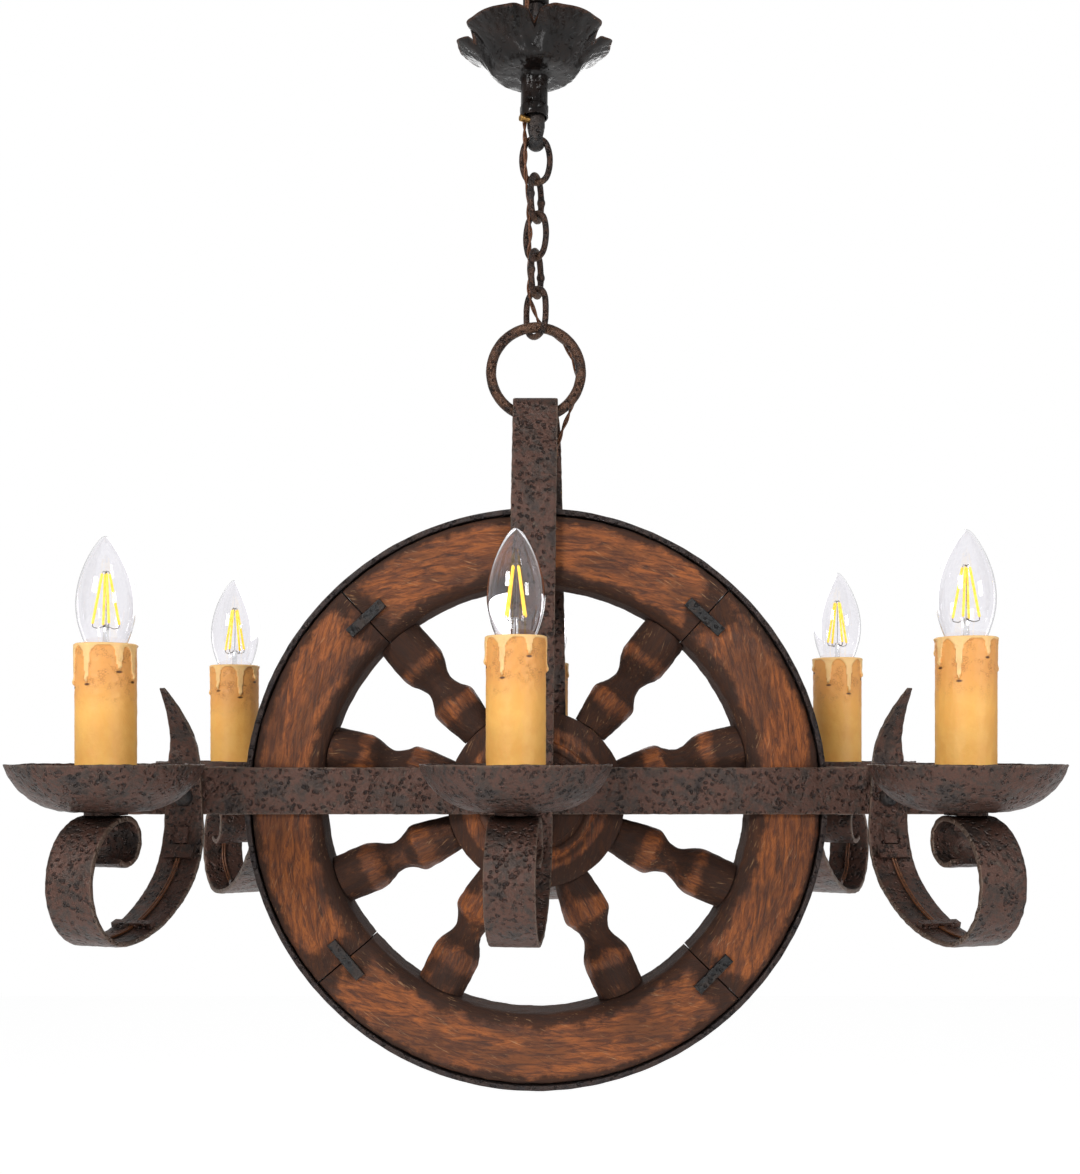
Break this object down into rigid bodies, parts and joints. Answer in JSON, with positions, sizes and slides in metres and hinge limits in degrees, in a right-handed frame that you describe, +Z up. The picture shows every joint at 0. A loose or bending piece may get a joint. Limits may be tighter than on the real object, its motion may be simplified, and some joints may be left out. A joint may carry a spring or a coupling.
{
  "type": "wagon wheel chandelier",
  "caption": "Wooden wagon wheel chandelier hung by a chain, ring and folded iron strap, with candle lamps on scrolled iron arms.",
  "frame": {"origin": "the ceiling, at the middle of the top face of the hanging rod's collar", "axes": "+Z up, -Y towards the viewer of the picture, +X to the right of the picture"},
  "size_m": [0.6418, 0.3576, 0.7557],
  "materials": {
    "forged_iron": "hammered, dark brown",
    "dark_steel": "satin, nearly black",
    "black_canopy": "glossy",
    "brass": "polished",
    "brown_wood": "oiled, with charred edges",
    "wax_sleeve": "crackled, waxy",
    "black_plastic": "moulded",
    "clear_glass": "clear",
    "filament": "coated",
    "copper_flex": "clear sheath over copper"
  },
  "bodies": {
    "ceiling": {"hanging_rod": "dark_steel", "canopy": "black_canopy", "canopy_screw": "brass", "flex_1": "copper_flex"},
    "link_1": {"chain_link_1": "dark_steel", "flex_2": "copper_flex"},
    "link_2": {"chain_link_2": "dark_steel", "flex_3": "copper_flex"},
    "link_3": {"chain_link_3": "dark_steel", "flex_4": "copper_flex"},
    "link_4": {"chain_link_4": "dark_steel", "flex_5": "copper_flex"},
    "link_5": {"chain_link_5": "dark_steel", "flex_6": "copper_flex"},
    "ring": {"hanging_ring": "dark_steel"},
    "wheel_frame": {"hanging_strap": "forged_iron", "front_bar": "forged_iron", "rear_bar": "forged_iron", "end_ties": "forged_iron", "centre_bolt": "dark_steel", "tyre": "forged_iron", "felloe_1": "brown_wood", "felloe_2": "brown_wood", "felloe_3": "brown_wood", "felloe_4": "brown_wood", "hub": "brown_wood", "spoke_1": "brown_wood", "spoke_2": "brown_wood", "spoke_3": "brown_wood", "spoke_4": "brown_wood", "spoke_5": "brown_wood", "spoke_6": "brown_wood", "spoke_7": "brown_wood", "spoke_8": "brown_wood", "felloe_cramps": "forged_iron", "front_left_arm": "forged_iron", "front_right_arm": "forged_iron", "rear_left_arm": "forged_iron", "rear_right_arm": "forged_iron", "arm_rivets": "forged_iron", "drip_pan_1": "forged_iron", "drip_pan_2": "forged_iron", "drip_pan_3": "forged_iron", "drip_pan_4": "forged_iron", "drip_pan_5": "forged_iron", "drip_pan_6": "forged_iron", "candle_sleeve_1": "wax_sleeve", "candle_sleeve_2": "wax_sleeve", "candle_sleeve_3": "wax_sleeve", "candle_sleeve_4": "wax_sleeve", "candle_sleeve_5": "wax_sleeve", "candle_sleeve_6": "wax_sleeve", "lampholders": "black_plastic", "lamp_fixings": "forged_iron", "bulb_glasses": "clear_glass", "bulb_caps": "brass", "bulb_filaments": "filament", "wire_clips": "forged_iron", "arm_leads": "copper_flex", "flex_7": "copper_flex"}
  },
  "joints": [
    {"name": "link_1_swing", "type": "hinge", "parent": "ceiling", "child": "link_1", "pos_m": [0, 0, -0.1012], "axis": [1, 0, 0], "range_deg": [-20, 20], "deforming": ["flex_1"]},
    {"name": "link_2_swing", "type": "hinge", "parent": "link_1", "child": "link_2", "pos_m": [0, 0, -0.1319], "axis": [1, 0, 0], "range_deg": [-20, 20], "deforming": ["flex_2"]},
    {"name": "link_3_swing", "type": "hinge", "parent": "link_2", "child": "link_3", "pos_m": [0, 0, -0.158], "axis": [0.3746, 0.9272, 0], "range_deg": [-20, 20], "deforming": ["flex_3"]},
    {"name": "link_4_swing", "type": "hinge", "parent": "link_3", "child": "link_4", "pos_m": [0, 0, -0.1841], "axis": [-0.7193, 0.6947, 0], "range_deg": [-20, 20], "deforming": ["flex_4"]},
    {"name": "link_5_swing", "type": "hinge", "parent": "link_4", "child": "link_5", "pos_m": [0, 0, -0.2102], "axis": [0.342, 0.9397, 0], "range_deg": [-18, 18], "deforming": ["flex_5"]},
    {"name": "ring_swing", "type": "hinge", "parent": "link_5", "child": "ring", "pos_m": [0, 0, -0.2383], "axis": [-0.5878, 0.809, 0], "range_deg": [-18, 18], "deforming": ["flex_6"]},
    {"name": "frame_swing", "type": "hinge", "parent": "ring", "child": "wheel_frame", "pos_m": [-0.0004, 0, -0.28998], "axis": [1, 0, 0], "range_deg": [-20, 20], "deforming": ["flex_7"]}
  ]
}
